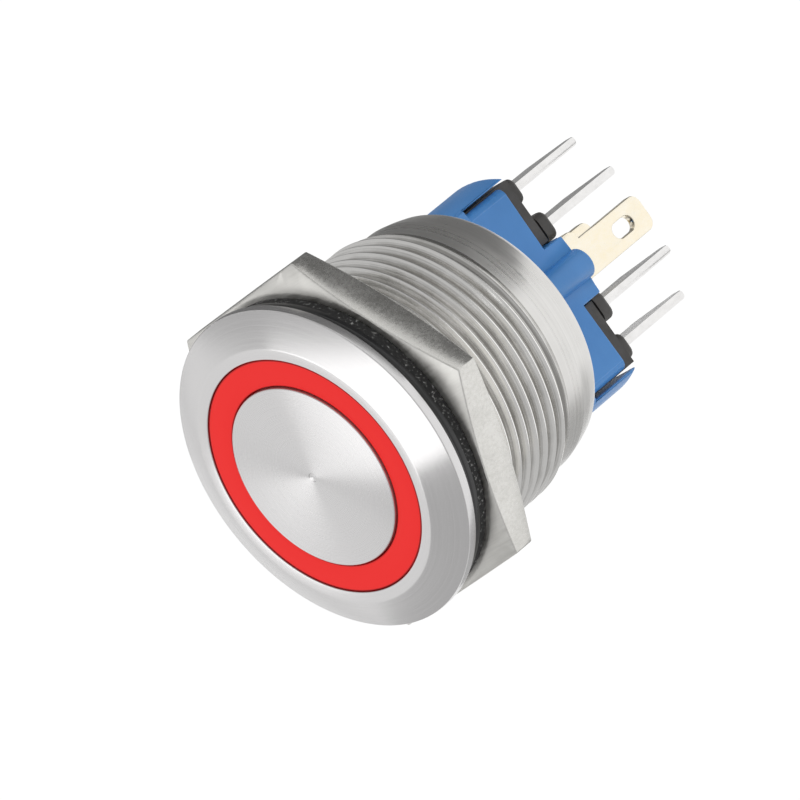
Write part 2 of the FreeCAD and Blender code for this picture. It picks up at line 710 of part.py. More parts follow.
def is_block_corner(edge):
    """The upright outer corners of the two block walls, below the barrel."""
    box = edge.BoundBox
    upright = box.ZLength > 2.0 and box.XLength < 1e-4 and box.YLength < 1e-4
    at_wall = abs(abs(box.XMin) - worth(BLOCK_SIDE)) < 1e-3
    at_flat = abs(abs(box.YMin) - size_of("flat_distance")) < 1e-3
    return upright and at_wall and at_flat


def is_tab_end(edge):
    """The outer arc at the end of each side tab."""
    box = edge.BoundBox
    level = box.ZLength < 1e-4 and abs(box.ZMin - worth(TAB_END)) < 1e-3
    return level and edge.Curve.TypeId == "Part::GeomCircle"


rounded(base_housing, "block_corners", "block_corner", is_block_corner)
rounded(base_housing, "tab_ends", "tab_round", is_tab_end)
round_bar(base_housing, "front_rib", "0", "0 - flat_distance", "rib_radius",
          (FLAT_START, WEB_END))
block(base_housing, "rib_lamp_slot",
      ("0 - blade_width / 2 - block_play", "blade_width / 2 + block_play"),
      (f"0 - lamp_blade_offset - {LAMP_HALF}", f"{LAMP_HALF} - lamp_blade_offset"),
      (f"{FLOOR} + 0.1", DEEP), cut=True)

# ---------------------------------------------------------------- contact blocks

outer_y = ("0 - outer_blade_near", "blade_width - outer_blade_near")
inner_y = ("0 - inner_blade_near", "blade_width - inner_blade_near")
for label, sign in (("nc_block", "1"), ("no_block", "-1")):
    body = new_body(label)
    x = (INSERT_INNER, INSERT_OUTER)
    if sign == "-1":
        x = (f"0 - {INSERT_OUTER}", f"0 - {INSERT_INNER}")
    block(body, f"{label}_body", x,
          ("wall_thickness + block_play - flat_distance", "flat_distance - wall_thickness - block_play"),
          (INSERT_TOP, INSERT_END))
    for place, stand, reach, width, end in (
            ("outer", OUTER, "outer_collar_reach", "outer_collar_width", OUTER_COLLAR_END),
            ("inner", INNER, "inner_collar_reach", "inner_collar_width", INNER_COLLAR_END)):
        middle = f"{sign} * {stand}"
        block(body, f"{label}_{place}_neck",
              (f"{middle} - {width} / 2 + 0.3", f"{middle} + {width} / 2 - 0.3"),
              (f"0.5 - {reach}", f"{reach} - 0.5"),
              (INSERT_END, COLLAR_TOP))
        block(body, f"{label}_{place}_collar",
              (f"{middle} - {width} / 2", f"{middle} + {width} / 2"), (f"0 - {reach}", reach),
              (COLLAR_TOP, end))
    for place, stand, y in (("outer", OUTER, outer_y), ("inner", INNER, inner_y)):
        middle = f"{sign} * {stand}"
        block(body, f"{label}_{place}_blade_slot",
              (f"{middle} - blade_thickness / 2", f"{middle} + blade_thickness / 2"), y,
              (INSERT_TOP, INNER_COLLAR_END), cut=True)

# ---------------------------------------------------------------- terminals


def blade_side(near, width, top, tip):
    """A blade seen from its broad side: straight near edge, bevelled far edge."""
    return [
        (f"0 - {near}", top),
        (f"0 - {near}", f"{tip} + tip_corner"),
        (f"tip_corner - {near}", tip),
        (f"tip_corner + tip_flat - {near}", tip),
        (f"{width} - {near}", f"{tip} + tip_taper"),
        (f"{width} - {near}", top),
    ]


for unit, sign, pad in (("nc", "1", NC_PAD), ("no", "-1", NO_PAD)):
    for place, stand, tip in (("inner", INNER, INNER_TIP), ("outer", OUTER, OUTER_TIP)):
        label = f"terminal_{unit}_{place}"
        body = new_body(label)
        middle = f"{sign} * {stand}"
        plate(body, f"{label}_blade", "YZ_Plane",
              blade_side(f"{place}_blade_near", "blade_width", pad, tip),
              middle, "blade_thickness")
        inward = {"inner": 1, "outer": -1}[place] * int(sign)
        edge = f"{middle} {'+' if inward > 0 else '-'} blade_thickness / 2"
        end = f"{edge} {'+' if inward > 0 else '-'} ( pad_reach - blade_thickness / 2 )"
        x = (edge, end) if inward > 0 else (end, edge)
        y = inner_y if place == "inner" else outer_y
        block(body, f"{label}_pad", x, y,
              (pad, f"{pad} - blade_thickness"))

for side, stand, shift in (("inner", INNER, "-"), ("outer", OUTER, "+")):
    rivet = new_body(f"no_rivet_{side}")
    round_bar(rivet, f"{side}_rivet", f"0 - {stand} {shift} 0.45", "0", "rivet_radius",
              (f"{NO_PAD} + rivet_height", NO_PAD))


def lamp_blade(label, sign):
    """A broad terminal with rounded end corners, an oval eye and a shoulder."""
    body = new_body(label)
    middle = f"0 - {sign} * lamp_blade_offset"
    half = "blade_width / 2"
    side = "1" if sign == "-1" else "-1"
    shoulder = [
        (f"{side} * ( 0 - {half} )", LAMP_TOP),
        (f"{side} * ( 0 - {half} )", LAMP_TIP),
        (f"{side} * {half}", LAMP_TIP),
        (f"{side} * {half}", SHOULDER_END),
        (f"{side} * ( {half} + shoulder_width )", SHOULDER_END),
        (f"{side} * ( {half} + shoulder_width )", f"{WEB_END} + 1.4"),
        (f"{side} * {half}", f"{WEB_END} + 1.4"),
        (f"{side} * {half}", LAMP_TOP),
    ]
    plate(body, f"{label}_plate", "XZ_Plane", shoulder, middle, "blade_thickness")

    def is_tip_corner(edge):
        box = edge.BoundBox
        across = box.YLength > 0.3 and box.XLength < 1e-4 and box.ZLength < 1e-4
        at_tip = abs(box.ZMin - worth(LAMP_TIP)) < 1e-3
        wide = abs(box.XMin) - size_of("blade_width") / 2 - size_of("shoulder_width")
        at_shoulder = abs(wide) < 1e-3 and abs(box.ZMin - worth(SHOULDER_END)) < 1e-3
        return across and (at_tip or at_shoulder)

    rounded(body, f"{label}_corners", "lamp_corner", is_tip_corner)
    for name, shift in (("upper", "+"), ("lower", "-")):
        sketch = new_sketch(body, f"{label}_{name}_eye_outline", "XZ_Plane", middle)
        circle(sketch, "0", f"{EYE} {shift} eye_half_length", "eye_radius")
        eye_feature(body, f"{label}_{name}_eye", sketch)
    sketch = new_sketch(body, f"{label}_eye_outline", "XZ_Plane", middle)
    outline(sketch, [
        ("0 - eye_radius", f"{EYE} - eye_half_length"),
        ("eye_radius", f"{EYE} - eye_half_length"),
        ("eye_radius", f"{EYE} + eye_half_length"),
        ("0 - eye_radius", f"{EYE} + eye_half_length"),
    ])
    eye_feature(body, f"{label}_eye", sketch)
    return body


def eye_feature(body, name, sketch):
    """A pocket both ways from the middle of a plate."""
    feature = body.newObject("PartDesign::Pocket", name)
    feature.Profile = sketch
    feature.Midplane = True
    feature.setExpression("Length", d("blade_thickness + 1"))
    document.recompute()


lamp_blade("terminal_lamp_front", "-1")
lamp_blade("terminal_lamp_rear", "1")

for side, sign in (("front", "-1"), ("rear", "1")):
    lead = new_body(f"lamp_lead_{side}")
    round_bar(lead, f"{side}_wire", "0", f"{sign} * {LEAD}", "lead_radius",
              (f"{BOARD_TOP} + 0.25", f"{LAMP_TOP} - 0.6"))
    y = (f"{sign} * {LEAD}", f"{sign} * ( lamp_blade_offset + blade_thickness / 2 )")
    block(lead, f"{side}_foot", ("0 - lead_radius", "lead_radius"),
          y if sign == "-1" else (y[1], y[0]),
          (f"{LAMP_TOP} - 0.1", f"{LAMP_TOP} - 0.6"))

# ---------------------------------------------------------------- return spring

top = worth(HUB_END)
seat = worth(SPRING_SEAT)
wire = size_of("spring_wire")
mean = size_of("spring_mean_radius")
rise = top - seat - wire - 0.04
spring_path = Part.makeHelix(rise / size_of("spring_coils"), rise, mean)
spring_ring = Part.Wire(Part.makeCircle(
    wire / 2, FreeCAD.Vector(mean, 0, 0), FreeCAD.Vector(0, 1, 0)))
coil = Part.Wire(spring_path.Edges).makePipeShell([spring_ring], True, True)
coil.translate(FreeCAD.Vector(0, 0, seat + wire / 2 + 0.02))
return_spring = document.addObject("Part::Feature", "return_spring")
return_spring.Label = "return_spring"
return_spring.Shape = coil

# ---------------------------------------------------------------- check and write

document.recompute()
for item in document.Objects:
    if "Invalid" in item.State or "Error" in item.State:
        raise RuntimeError(f"{item.Label} failed: {item.State}")

nodes = {}
for item in document.Objects:
    if item.TypeId == "PartDesign::Body":
        nodes[item.Label] = item.Shape
nodes["stem_seal"] = stem_seal.Shape
nodes["return_spring"] = return_spring.Shape
nodes["led_chips"] = Part.makeCompound(chips)
nodes["no_rivets"] = Part.makeCompound([nodes.pop("no_rivet_inner"), nodes.pop("no_rivet_outer")])

os.makedirs("parts", exist_ok=True)
for label, shape in nodes.items():
    if shape.isNull() or not shape.isValid():
        raise RuntimeError(f"{label} has no valid shape")
    shape.exportStep(f"parts/{label}.step")
    print(label, len(shape.Solids), round(shape.Volume, 2))
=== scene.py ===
import json
import math

import bmesh
import bpy
from mathutils import Matrix, Vector


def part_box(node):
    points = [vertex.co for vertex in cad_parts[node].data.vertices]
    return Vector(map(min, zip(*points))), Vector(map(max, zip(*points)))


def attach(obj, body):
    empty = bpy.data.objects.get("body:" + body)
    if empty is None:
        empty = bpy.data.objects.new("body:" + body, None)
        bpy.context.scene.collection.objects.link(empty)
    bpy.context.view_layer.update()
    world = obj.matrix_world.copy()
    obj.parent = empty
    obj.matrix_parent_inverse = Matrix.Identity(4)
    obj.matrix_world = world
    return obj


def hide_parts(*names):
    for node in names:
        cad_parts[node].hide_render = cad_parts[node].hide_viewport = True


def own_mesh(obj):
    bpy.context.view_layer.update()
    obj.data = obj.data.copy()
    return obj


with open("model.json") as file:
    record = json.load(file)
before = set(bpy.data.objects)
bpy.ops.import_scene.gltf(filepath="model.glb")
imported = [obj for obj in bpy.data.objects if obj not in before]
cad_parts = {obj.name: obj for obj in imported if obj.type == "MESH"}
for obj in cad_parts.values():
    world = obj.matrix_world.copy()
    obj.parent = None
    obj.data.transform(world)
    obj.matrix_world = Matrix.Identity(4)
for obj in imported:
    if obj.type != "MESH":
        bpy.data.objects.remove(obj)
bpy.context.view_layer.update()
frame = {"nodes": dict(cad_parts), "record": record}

MM = 0.001
STEPS = 256
LENS_INNER = 7.12
LENS_OUTER = 9.12

# The barrel's outside thread, in mm: the crest and root radii and the heights where it starts and stops.
CREST = 10.97
ROOT = 10.42
PITCH = 1.0
THREAD_TURNS = 15
THREAD_FOOT = -14.4
THREAD_CUTS = ((-0.7, 1), (-13.58, -1))
THREAD_STEPS_A_TURN = 144
# Where the thread rises out of the core under the bezel, and where it sinks into the plain band.
RUN_IN_TOP = -0.9
RUN_IN_LENGTH = 0.4
RUN_OUT_TOP = -12.3
RUN_OUT_SLOPE = 0.42
BAND = 10.40


# ---------------------------------------------------------------- shaping

def eased(corners, radius):
    """A closed (r, z) outline in mm with each corner turned into a small arc of four points."""
    out = []
    count = len(corners)
    for i, here in enumerate(corners):
        here = Vector(here)
        before = Vector(corners[i - 1]) - here
        after = Vector(corners[(i + 1) % count]) - here
        reach = min(radius, 0.35 * before.length, 0.35 * after.length)
        if reach < 1e-4:
            out.append(here)
            continue
        start = here + before.normalized() * reach
        end = here + after.normalized() * reach
        for t in (0.0, 0.33, 0.67, 1.0):
            out.append(start * (1 - t) ** 2 + here * 2 * t * (1 - t) + end * t ** 2)
    return out


def drawn(bm, points, closed=True):
    """Edges through (r, z) points in mm, in the X-Z plane."""
    verts = [bm.verts.new((p[0] * MM, 0.0, p[1] * MM)) for p in points]
    pairs = list(zip(verts, verts[1:]))
    if closed:
        pairs.append((verts[-1], verts[0]))
    return verts + [bm.edges.new(pair) for pair in pairs]


def spin_full(bm, geom):
    bmesh.ops.spin(
        bm, geom=geom, cent=(0, 0, 0), axis=(0, 0, 1), angle=2 * math.pi,
        steps=STEPS, use_merge=True, use_duplicate=False)
    bmesh.ops.remove_doubles(bm, verts=bm.verts, dist=1e-7)


def placed(name, data):
    """An object in the scene, at the origin."""
    piece = bpy.data.objects.new(name, data)
    bpy.context.scene.collection.objects.link(piece)
    return piece


def meshed(bm, name, materials):
    """Turns a bmesh into a mesh with its materials."""
    mesh = bpy.data.meshes.new(name)
    bm.to_mesh(mesh)
    bm.free()
    for material in materials:
        mesh.materials.append(material)
    return mesh


def softened(mesh, sharp_angle):
    """Smooth shading, with corners past an angle in degrees left sharp."""
    mesh.shade_smooth()
    mesh.set_sharp_from_angle(angle=math.radians(sharp_angle))
    return mesh


def made(bm, name, body, materials, smooth_angle=30.0):
    """Closes a bmesh into an object that rides on a body."""
    bmesh.ops.recalc_face_normals(bm, faces=bm.faces)
    piece = placed(name, softened(meshed(bm, name, materials), smooth_angle))
    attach(piece, body)
    return piece


def turned(name, corners, body, material, ease=0.06):
    """A piece turned round Z from its (r, z) corners in mm."""
    bm = bmesh.new()
    spin_full(bm, drawn(bm, eased(corners, ease)))
    return made(bm, name, body, [material])


def copied(node):
    """A merged copy of a CAD node's mesh, its flat faces whole again."""
    bm = bmesh.new()
    bm.from_mesh(frame["nodes"][node].data)
    bmesh.ops.remove_doubles(bm, verts=bm.verts, dist=2e-7)
    bmesh.ops.dissolve_limit(
        bm, angle_limit=math.radians(0.6), use_dissolve_boundaries=False,
        verts=bm.verts, edges=bm.edges)
    return bm


def corners_of(bm, least_angle, wanted):
    """Outward corners sharper than an angle in degrees, and wanted where a test is given."""
    found = []
    for edge in bm.edges:
        if len(edge.link_faces) != 2 or not edge.is_convex:
            continue
        if edge.calc_face_angle(0.0) < math.radians(least_angle):
            continue
        if wanted is None or wanted(edge):
            found.append(edge)
    return found


def refined(node, name, body, materials, cuts):
    """A copy of a CAD node with its outward corners eased.

    Each cut is (size in mm, segments, least angle in degrees, test for an edge or None).
    """
    bm = copied(node)
    for ease, segments, least_angle, wanted in cuts:
        bmesh.ops.bevel(
            bm, geom=corners_of(bm, least_angle, wanted), offset=ease * MM, affect="EDGES",
            segments=segments, profile=0.5, material=-1, clamp_overlap=False)
    piece = made(bm, name, body, materials, 34.0)
    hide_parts(node)
    return piece


# ---------------------------------------------------------------- finishes

class Finish:
    """A node material with one Principled shader."""

    def __init__(self, name, **sockets):
        self.material = bpy.data.materials.new(name)
        self.material.use_nodes = True
        self.nodes = self.material.node_tree.nodes
        self.links = self.material.node_tree.links
        self.shader = self.nodes["Principled BSDF"]
        for socket, value in sockets.items():
            self.shader.inputs[socket.replace("_", " ")].default_value = value
        self.place = self.nodes.new("ShaderNodeTexCoord").outputs["Object"]

    def node(self, kind, **settings):
        made_node = self.nodes.new(kind)
        for name, value in settings.items():
            setattr(made_node, name, value)
        return made_node

    def join(self, source, target):
        self.links.new(source, target)

    def feed(self, node, values):
        """Sets each input to a constant, or joins it to a socket."""
        for target, value in zip(node.inputs, values):
            if isinstance(value, (int, float, tuple)):
                target.default_value = value
            else:
                self.join(value, target)

    def maths(self, operation, first, second):
        node = self.node("ShaderNodeMath", operation=operation)
        self.feed(node, (first, second))
        return node.outputs[0]

    def vector(self, operation, *values):
        node = self.node("ShaderNodeVectorMath", operation=operation)
        self.feed(node, values)
        return node.outputs["Value" if operation == "LENGTH" else "Vector"]

    def noise(self, where, scale, detail, rough):
        node = self.node("ShaderNodeTexNoise")
        node.inputs["Scale"].default_value = scale
        node.inputs["Detail"].default_value = detail
        node.inputs["Roughness"].default_value = rough
        self.join(where, node.inputs["Vector"])
        return node.outputs["Fac"]

    def radius(self):
        flat = self.vector("MULTIPLY", self.place, (1.0, 1.0, 0.0))
        return self.vector("LENGTH", flat)

    def height(self):
        parts = self.node("ShaderNodeSeparateXYZ")
        self.join(self.place, parts.inputs[0])
        return parts.outputs["Z"]

    def along(self, x, y, z):
        """A point built from three sockets or numbers."""
        node = self.node("ShaderNodeCombineXYZ")
        self.feed(node, (x, y, z))
        return node.outputs[0]

    def ramp(self, source, stops):
        """A colour ramp through (position, red-green-blue) stops."""
        node = self.node("ShaderNodeValToRGB")
        while len(node.color_ramp.elements) < len(stops):
            node.color_ramp.elements.new(0.5)
        for element, (at, colour) in zip(node.color_ramp.elements, stops):
            element.position = at
            element.color = (*colour, 1.0)
        self.join(source, node.inputs[0])
        return node.outputs[0]

    def range(self, source, low, high, to_low, to_high):
        node = self.node("ShaderNodeMapRange")
        for i, value in enumerate((low, high, to_low, to_high)):
            node.inputs[i + 1].default_value = value
        self.join(source, node.inputs[0])
        return node.outputs[0]

    def colour(self, source):
        self.join(source, self.shader.inputs["Base Color"])

    def rough(self, source):
        self.join(source, self.shader.inputs["Roughness"])

    def bump(self, source, strength, distance):
        node = self.node("ShaderNodeBump")
        node.inputs["Strength"].default_value = strength
        node.inputs["Distance"].default_value = distance
        self.join(source, node.inputs["Height"])
        self.join(node.outputs[0], self.shader.inputs["Normal"])

    def round_grain(self):
        """Turns the grain of the metal so that it runs round the axis."""
        round_way = self.vector("CROSS_PRODUCT", self.place, (0.0, 0.0, -1.0))
        self.join(self.vector("NORMALIZE", round_way), self.shader.inputs["Tangent"])
        self.shader.inputs["Anisotropic Rotation"].default_value = 0.25

    def lathe_noise(self, across, along, roughness):
        """Noise in rings round the axis, with its scale across the radius and along the axis."""
        line = self.along(
            self.maths("MULTIPLY", self.radius(), across), 0.0,
            self.maths("MULTIPLY", self.height(), along))
        return self.noise(line, 1.0, 3.0, roughness)

    def blend(self, first, second, share):
        """A mix of two noises, with the first one's share of it."""
        return self.maths(
            "ADD", self.maths("MULTIPLY", first, share), self.maths("MULTIPLY", second, 1.0 - share))

    def glow(self, colour, strength):
        self.shader.inputs["Base Color"].default_value = (*colour, 1.0)
        self.shader.inputs["Emission Color"].default_value = (1.0, 1.0, 1.0, 1.0)
        self.shader.inputs["Emission Strength"].default_value = strength


def turned_metal(name, dark, light, rough, grain, rings, depth):
    """Metal cut on a lathe: fine rings, grain running round the axis."""
    f = Finish(name, Metallic=1.0, Roughness=rough, Anisotropic=grain)
    f.round_grain()
    cuts = f.lathe_noise(rings, rings, 0.65)
    f.colour(f.ramp(cuts, ((0.3, dark), (0.7, light))))
    f.rough(f.range(cuts, 0.3, 0.7, rough * 0.85, rough * 1.2))
    f.bump(cuts, 0.35, depth)
    return f.material


def threaded_metal(name, dark, light, rough, grain, painted_crest_shading):
    """Turned steel, with a painted highlight on the thread's crests and painted shade in its grooves;
    the last argument sets their strength.
    """
    f = Finish(name, Metallic=1.0, Roughness=rough, Anisotropic=grain)
    f.round_grain()
    cuts = f.lathe_noise(9000.0, 5000.0, 0.6)
    patches = f.noise(f.place, 260.0, 4.0, 0.6)
    both = f.blend(cuts, patches, 0.6)
    # Painted light: the colour is pushed lighter at the crest radius and darker at the root, a painted
    # crest highlight and groove shade.
    depth = f.range(f.radius(), (ROOT + 0.03) * MM, (CREST - 0.02) * MM, -painted_crest_shading, painted_crest_shading)
    f.colour(f.ramp(f.maths("ADD", both, depth), ((0.32, dark), (0.62, light))))
    f.rough(f.range(both, 0.3, 0.7, rough * 0.8, rough * 1.3))
    f.bump(cuts, 0.25, 0.00002)
    return f.material


def scratched_metal(name, dark, light, rough, angle, stretch=(4000.0, 160.0)):
    """Satin plating with fine scratches that lean at an angle in degrees."""
    f = Finish(name, Metallic=1.0, Roughness=rough)
    turn = f.node("ShaderNodeMapping")
    turn.inputs["Rotation"].default_value = (0.3, 0.2, math.radians(angle))
    turn.inputs["Scale"].default_value = (stretch[0], stretch[1], stretch[0] * 0.6)
    f.join(f.place, turn.inputs["Vector"])
    scratches = f.noise(turn.outputs[0], 1.0, 3.0, 0.65)
    patches = f.noise(f.place, 330.0, 5.0, 0.6)
    both = f.blend(scratches, patches, 0.55)
    f.colour(f.ramp(both, ((0.34, dark), (0.64, light))))
    f.rough(f.range(both, 0.3, 0.7, rough * 0.75, rough * 1.35))
    f.bump(both, 0.3, 0.000015)
    return f.material


def moulded(name, dark, light, rough, scale=900.0, bumps=0.00002, **sockets):
    """Moulded plastic: a faint cloud of colour and a fine skin."""
    f = Finish(name, Roughness=rough, **sockets)
    cloud = f.noise(f.place, scale * 0.25, 3.0, 0.5)
    skin = f.noise(f.place, scale * 8.0, 2.0, 0.6)
    f.colour(f.ramp(cloud, ((0.3, dark), (0.7, light))))
    f.rough(f.range(skin, 0.3, 0.7, rough * 0.85, rough * 1.15))
    f.bump(skin, 0.25, bumps)
    return f.material


def red_lens():
    """Frosted red light ring with a darker line where it meets the metal, and a faint painted glow in
    its own red.
    """
    f = Finish("red_lens", Roughness=0.5)
    f.shader.inputs["Specular IOR Level"].default_value = 0.25
    # Painted glow: the ring emits a little of its own colour, with no lit lamp behind it.
    f.shader.inputs["Emission Strength"].default_value = 0.16
    bright = (0.93, 0.016, 0.014)
    edge = (0.42, 0.008, 0.008)
    stops = ((0.0, edge), (0.05, bright), (0.94, bright), (0.985, edge))
    ring = f.range(f.radius(), LENS_INNER * MM, LENS_OUTER * MM, 0.0, 1.0)
    body = f.ramp(ring, stops)
    f.colour(body)
    # The painted glow takes the ring's own colour.
    f.join(body, f.shader.inputs["Emission Color"])
    skin = f.noise(f.place, 6000.0, 2.0, 0.5)
    f.bump(skin, 0.08, 0.00001)
    return f.material


def dusty_rubber():
    """Black rubber, glossy, with pale dust specks all over."""
    f = Finish("dusty_rubber", Roughness=0.3, Coat_Weight=0.2)
    specks = f.noise(f.place, 5200.0, 4.0, 0.7)
    clouds = f.noise(f.place, 520.0, 3.0, 0.6)
    dust = f.blend(specks, clouds, 0.7)
    f.colour(f.ramp(dust, (
        (0.0, (0.005, 0.005, 0.006)), (0.66, (0.009, 0.009, 0.010)), (0.74, (0.2, 0.2, 0.2)))))
    f.rough(f.range(clouds, 0.3, 0.7, 0.22, 0.4))
    f.bump(specks, 0.2, 0.00002)
    return f.material


def rough_rubber():
    """Matt black rubber with pale grit."""
    f = Finish("rough_rubber", Roughness=0.75)
    specks = f.noise(f.place, 4200.0, 5.0, 0.75)
    f.colour(f.ramp(specks, (
        (0.0, (0.004, 0.004, 0.004)), (0.56, (0.02, 0.02, 0.02)), (0.66, (0.45, 0.45, 0.44)))))
    f.rough(f.range(specks, 0.3, 0.7, 0.6, 0.95))
    f.bump(specks, 0.8, 0.0001)
    return f.material


def board_finish():
    """Green laminate with its glass weave."""
    f = Finish("board", Roughness=0.45)
    weave = f.node("ShaderNodeTexWave", wave_type="BANDS")
    weave.inputs["Scale"].default_value = 900.0
    weave.inputs["Distortion"].default_value = 1.5
    f.join(f.place, weave.inputs["Vector"])
    f.colour(f.ramp(weave.outputs["Fac"], ((0.0, (0.01, 0.10, 0.04)), (1.0, (0.02, 0.17, 0.07)))))
    f.bump(weave.outputs["Fac"], 0.2, 0.00002)
    return f.material


def chip_finish():
    """Pale phosphor over amber cells."""
    f = Finish("led", Roughness=0.3)
    cell = f.node("ShaderNodeTexVoronoi")
    cell.inputs["Scale"].default_value = 900.0
    f.join(f.place, cell.inputs["Vector"])
    f.colour(f.ramp(cell.outputs["Distance"], ((0.2, (0.9, 0.62, 0.3)), (0.8, (0.95, 0.92, 0.85)))))
    f.bump(cell.outputs["Distance"], 0.2, 0.00003)
    return f.material


LATHE_RINGS = 22000.0
LATHE_DEPTH = 0.000002
BLADE_SCRATCHES = (2500.0, 700.0)
STEEL = turned_metal(
    "turned_steel", (0.71, 0.70, 0.70), (0.76, 0.75, 0.75), 0.22, 0.8, LATHE_RINGS, LATHE_DEPTH)
CAP_STEEL = turned_metal(
    "turned_cap", (0.71, 0.70, 0.70), (0.75, 0.74, 0.74), 0.28, 0.9, LATHE_RINGS, LATHE_DEPTH)
BAND_STEEL = threaded_metal(
    "band_steel", (0.66, 0.65, 0.63), (0.80, 0.79, 0.77), 0.28, 0.3, 0.0)
# The thread's wide dark-to-near-white range and its last argument paint highlights on the crests and
# shade in the grooves.
THREAD_STEEL = threaded_metal(
    "thread_steel", (0.44, 0.43, 0.41), (0.96, 0.95, 0.93), 0.18, 0.3, 0.2)
NICKEL = scratched_metal(
    "nickel_plate", (0.68, 0.67, 0.64), (0.82, 0.81, 0.78), 0.42, 55.0)
# The flats are smoother and scratched another way; their darker colour is painted shade.
NICKEL_FLATS_WITH_PAINTED_SHADE = scratched_metal(
    "nickel_flats_with_painted_shade", (0.62, 0.61, 0.58), (0.80, 0.79, 0.76), 0.26, 62.0, (5200.0, 260.0))
SILVER = scratched_metal(
    "silver_plate", (0.80, 0.79, 0.78), (0.93, 0.92, 0.91), 0.2, 10.0, BLADE_SCRATCHES)
GOLD = scratched_metal(
    "gold_plate", (0.98, 0.88, 0.68), (1.0, 0.94, 0.80), 0.2, 12.0, BLADE_SCRATCHES)
COPPER = scratched_metal("copper", (0.62, 0.3, 0.18), (0.82, 0.45, 0.3), 0.35, 40.0)
SPRING_STEEL = scratched_metal(
    "spring_steel", (0.35, 0.35, 0.36), (0.6, 0.6, 0.61), 0.3, 30.0)
BLUE = moulded(
    "blue_plastic", (0.045, 0.235, 0.60), (0.07, 0.29, 0.70), 0.36, 700.0,
    Coat_Weight=0.15, Coat_Roughness=0.3)
BLACK = moulded(
    "black_plastic", (0.045, 0.042, 0.039), (0.085, 0.080, 0.076), 0.5, 2600.0, 0.00005)
WHITE = moulded("white_plastic", (0.72, 0.71, 0.68), (0.82, 0.81, 0.79), 0.4)
RESISTOR = moulded("resistor", (0.02, 0.02, 0.022), (0.06, 0.06, 0.065), 0.4)
LENS = red_lens()
RUBBER = dusty_rubber()
WASHER = rough_rubber()
BOARD = board_finish()
CHIPS = chip_finish()


# ---------------------------------------------------------------- bezel and barrel

def thread_limit(z):
    """Largest thread radius in mm at a height, which runs the thread out at both ends."""
    if z > RUN_IN_TOP:
        return ROOT
    if z > RUN_IN_TOP - RUN_IN_LENGTH:
        return ROOT + (RUN_IN_TOP - z) / RUN_IN_LENGTH * (CREST - ROOT)
    if z > RUN_OUT_TOP:
        return CREST
    return max(BAND, CREST - (RUN_OUT_TOP - z) * RUN_OUT_SLOPE)


def barrel_thread():
    """The barrel's outside thread as one helical skin over its core."""
    flat = 0.06
    half_root = 0.13
    edge = CREST - 0.03
    tooth = [
        (ROOT, half_root), (edge, 0.5 - flat - 0.015), (CREST, 0.5 - flat + 0.02),
        (CREST, 0.5 + flat - 0.02), (edge, 0.5 + flat + 0.015),
        (ROOT, PITCH - half_root), (ROOT, PITCH + half_root)]
    top = THREAD_FOOT + PITCH * THREAD_TURNS - PITCH
    bm = bmesh.new()
    line = drawn(bm, [(r, top - z) for r, z in tooth], closed=False)
    steps = THREAD_STEPS_A_TURN * THREAD_TURNS
    bmesh.ops.spin(
        bm, geom=line, cent=(0, 0, 0), axis=(0, 0, 1), angle=-2 * math.pi * THREAD_TURNS,
        steps=steps, dvec=(0, 0, -PITCH * THREAD_TURNS * MM / steps), use_duplicate=False)
    bmesh.ops.remove_doubles(bm, verts=bm.verts, dist=5e-7)
    for height, way in THREAD_CUTS:
        bmesh.ops.bisect_plane(
            bm, geom=bm.verts[:] + bm.edges[:] + bm.faces[:], dist=1e-7,
            plane_co=(0, 0, height * MM), plane_no=(0, 0, way), clear_outer=True)
    for vert in bm.verts:
        reach = math.hypot(vert.co.x, vert.co.y)
        most = thread_limit(vert.co.z / MM) * MM
        if reach > most:
            vert.co.x *= most / reach
            vert.co.y *= most / reach
    return bm


def face_outwards(bm):
    """Turns each face of the skin away from the axis."""
    for face in bm.faces:
        middle = face.calc_center_median()
        if face.normal.x * middle.x + face.normal.y * middle.y < 0:
            face.normal_flip()


def bezel():
    """The bezel and barrel turned from one outline, with the thread's skin laid over its core."""
    corners = [
        (9.2, 1.8), (10.0, 1.8), (12.5, 0.75), (12.5, 0.0), (BAND, 0.0), (BAND, -13.95),
        (BAND, -15.3), (10.2, -16.25), (9.96, -17.1), (9.8, -17.4), (9.1, -17.4),
        (9.1, -2.1), (8.5, -2.1), (8.5, -1.2), (9.2, -1.2)]
    front, band, thread = range(3)
    bm = bmesh.new()
    spin_full(bm, drawn(bm, eased(corners, 0.09)))
    bmesh.ops.recalc_face_normals(bm, faces=bm.faces)
    for face in bm.faces:
        face.material_index = band if face.calc_center_median().z < -0.3 * MM else front
    skin = barrel_thread()
    skin.normal_update()
    face_outwards(skin)
    for face in skin.faces:
        face.material_index = thread
    helix = meshed(skin, "thread", [])
    bm.from_mesh(helix)
    bpy.data.meshes.remove(helix)
    mesh = meshed(bm, "bezel", (STEEL, BAND_STEEL, THREAD_STEEL))
    piece = placed("bezel", softened(mesh, 24.0))
    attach(piece, "switch_body")
    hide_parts("bezel_barrel")


bezel()


# ---------------------------------------------------------------- gasket, washer and nut

def rings():
    gasket = turned("gasket", [
        (11.07, -0.01), (12.17, -0.01), (12.17, -0.3), (12.12, -0.42), (12.17, -0.54), (12.17, -0.94),
        (11.07, -0.94)], "switch_body", RUBBER, 0.12)
    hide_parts("rubber_gasket")
    washer = turned("washer", [
        (11.07, -0.96), (12.02, -0.96), (12.02, -1.79), (11.07, -1.79)], "washer", WASHER, 0.1)
    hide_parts("flat_washer")


def outside(edge):
    """Edges clear of the nut's bore and its thread."""
    return all(math.hypot(v.co.x, v.co.y) > 11.3 * MM for v in edge.verts)


